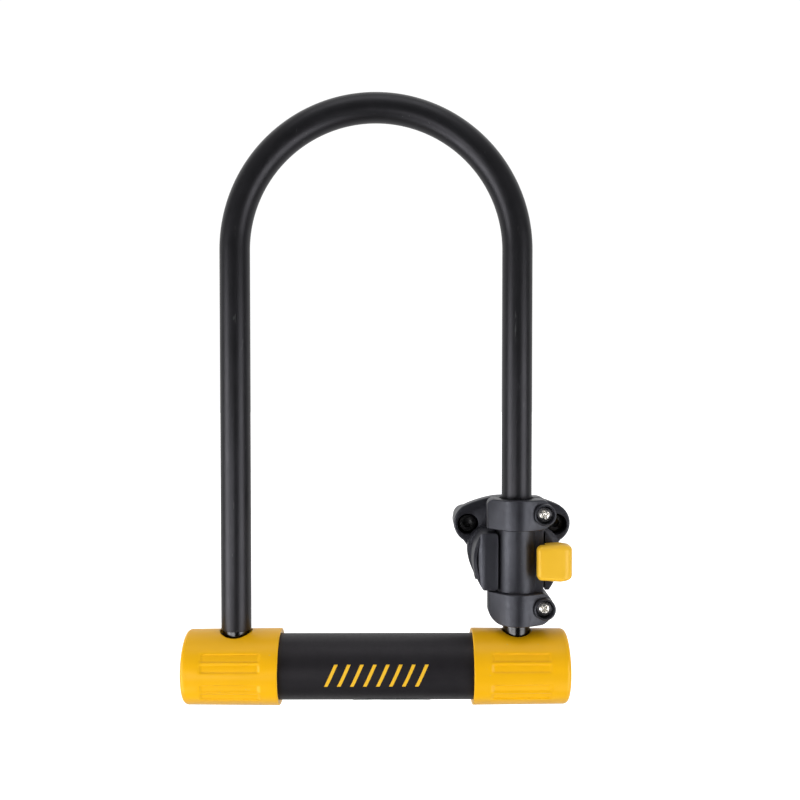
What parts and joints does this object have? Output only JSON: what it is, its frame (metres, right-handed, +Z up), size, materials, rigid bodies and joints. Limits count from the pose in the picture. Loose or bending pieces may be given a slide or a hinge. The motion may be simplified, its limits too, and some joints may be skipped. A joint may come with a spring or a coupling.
{
  "type": "u lock",
  "caption": "U-shaped bicycle lock: vinyl-coated steel shackle, keyed tubular crossbar with yellow end boots, and a quick-release bracket that clamps on a bicycle tube",
  "frame": {"origin": "on the axis of the bicycle tube that the bracket clamps, at the middle of the clamp's height", "axes": "+Z up along the shackle's legs, -Y to the front of the lock, +X to the side of the leg that carries the bracket"},
  "size_m": [0.1794, 0.0736, 0.2795],
  "materials": {
    "vinyl_black": "satin",
    "hardened_steel": "turned and oiled, dark",
    "tube_black": "fine matte coat",
    "boot_yellow": "soft satin vinyl",
    "button_yellow": "satin, slightly glossy",
    "bracket_plastic": "fine spark texture",
    "core_steel": "machined",
    "brass": "machined",
    "nickel": "bright nickel plate",
    "zinc_plate": "zinc plate",
    "spring_steel": "spring steel",
    "black_oxide": "black oxide, oiled",
    "rubber_black": "matte",
    "cover_plastic": "matte"
  },
  "bodies": {
    "frame_mount": {"clamp_front": "bracket_plastic", "clamp_rear": "bracket_plastic", "clamp_bolts": "black_oxide", "clamp_washers": "black_oxide", "clamp_nuts": "zinc_plate", "shim_front": "rubber_black", "shim_rear": "rubber_black", "receiver": "bracket_plastic", "receiver_screws": "zinc_plate", "catch_spring": "spring_steel"},
    "carrier": {"carrier_shell": "bracket_plastic", "carrier_screws": "nickel", "carrier_nuts": "zinc_plate", "release_spring": "spring_steel"},
    "button": {"release_button": "button_yellow"},
    "liner": {"rubber_liner": "rubber_black"},
    "shackle": {"shackle_rod": "hardened_steel", "shackle_coat": "vinyl_black"},
    "crossbar": {"crossbar_tube": "tube_black", "end_boot_left": "boot_yellow", "end_boot_right": "boot_yellow", "end_plug_left": "core_steel", "end_plug_right": "core_steel", "end_plug_pins": "zinc_plate", "leg_socket_left": "core_steel", "leg_socket_right": "core_steel", "lock_housing": "core_steel", "keyway_bezel": "cover_plastic"},
    "cylinder": {"key_plug": "brass", "wafers": "brass", "drive_cam": "zinc_plate"},
    "bolt_left": {"deadbolt_left": "hardened_steel"},
    "bolt_right": {"deadbolt_right": "hardened_steel"},
    "cover": {"dust_cover": "cover_plastic"}
  },
  "joints": [
    {"name": "bracket_release", "type": "slide", "parent": "frame_mount", "child": "carrier", "axis": [0, -1, 0], "range_m": [0, 0.045], "deforming": ["catch_spring"]},
    {"name": "button_press", "type": "slide", "parent": "carrier", "child": "button", "axis": [-1, 0, 0], "range_m": [0, 0.003], "stiffness_N_per_m": 900, "springref_m": -0.003, "deforming": ["release_spring"]},
    {"name": "bracket_swivel", "type": "hinge", "parent": "carrier", "child": "liner", "pos_m": [0, -0.036, -0.0105], "axis": [0, 0, 1], "range_deg": [-40, 180]},
    {"name": "bracket_height", "type": "slide", "parent": "liner", "child": "shackle", "axis": [0, 0, -1], "range_m": [0, 0.1]},
    {"name": "crossbar_pull", "type": "slide", "parent": "shackle", "child": "crossbar", "axis": [0, 0, -1], "range_m": [0, 0.045]},
    {"name": "key_turn", "type": "hinge", "parent": "crossbar", "child": "cylinder", "pos_m": [-0.0644, -0.036, -0.0655], "axis": [0, 0, 1], "range_deg": [0, 92]},
    {"name": "bolt_left_throw", "type": "slide", "parent": "crossbar", "child": "bolt_left", "axis": [-1, 0, 0], "range_m": [0, 0.005]},
    {"name": "bolt_right_throw", "type": "slide", "parent": "crossbar", "child": "bolt_right", "axis": [1, 0, 0], "range_m": [0, 0.005]},
    {"name": "cover_slide", "type": "slide", "parent": "crossbar", "child": "cover", "axis": [1, 0, 0], "range_m": [0, 0.0145]}
  ],
  "couplings": [
    {"joint": "key_turn", "follows": "bolt_left_throw", "rad_per_m": 314},
    {"joint": "bolt_right_throw", "follows": "bolt_left_throw", "ratio": 1}
  ]
}
